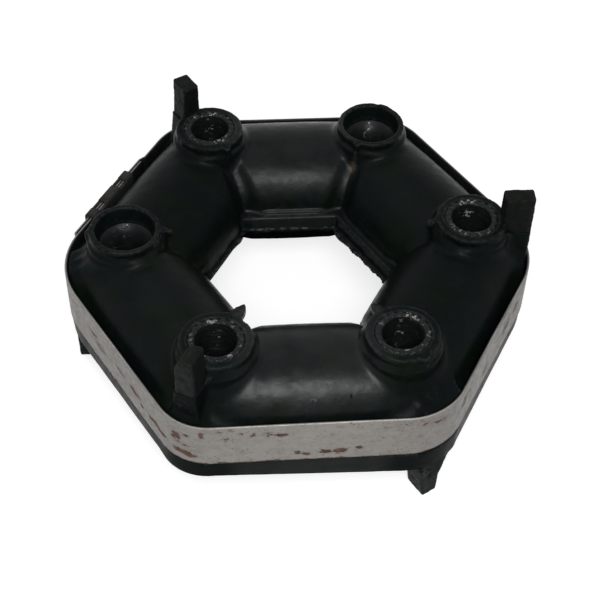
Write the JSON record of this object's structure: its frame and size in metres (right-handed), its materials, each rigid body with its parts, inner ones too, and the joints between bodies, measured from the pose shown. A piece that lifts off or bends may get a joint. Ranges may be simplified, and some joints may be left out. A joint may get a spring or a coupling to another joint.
{
  "type": "flexible disc coupling",
  "caption": "Hexagonal rubber shaft coupling: bulged rubber barrels between bonded metal inserts with steel bolt sleeves and lugs, squeezed by a steel band.",
  "frame": {"origin": "centre of the ring on the shaft axis, halfway up, which is also the centre of its box", "axes": "+Z along the shaft axis, upwards; +X through the middle of the first bolt hole, so the hexagon's corners lie every 60 degrees from +X"},
  "size_m": [0.1392, 0.128, 0.064],
  "materials": {
    "rubber": "moulded black rubber with a worn satin surface, dust and small scuffs",
    "cast_metal": "rough metal, blackened and rubber smeared, browned by rust at the edges",
    "sleeve_steel": "dull dark steel with toothed end faces, oily, with rust",
    "band_steel": "bare steel strapping gone matt, with brown rust patches and pits",
    "seal_steel": "crimped steel seal, dull, rusting at the crimps"
  },
  "bodies": {
    "root": {"rubber_ring": "rubber", "compression_band": "band_steel", "band_seal": "seal_steel", "bonded_insert_1_up": "cast_metal", "bonded_insert_2_down": "cast_metal", "bonded_insert_3_up": "cast_metal", "bonded_insert_4_down": "cast_metal", "bonded_insert_5_up": "cast_metal", "bonded_insert_6_down": "cast_metal", "steel_sleeve_1": "sleeve_steel", "steel_sleeve_2": "sleeve_steel", "steel_sleeve_3": "sleeve_steel", "steel_sleeve_4": "sleeve_steel", "steel_sleeve_5": "sleeve_steel", "steel_sleeve_6": "sleeve_steel"}
  },
  "joints": []
}
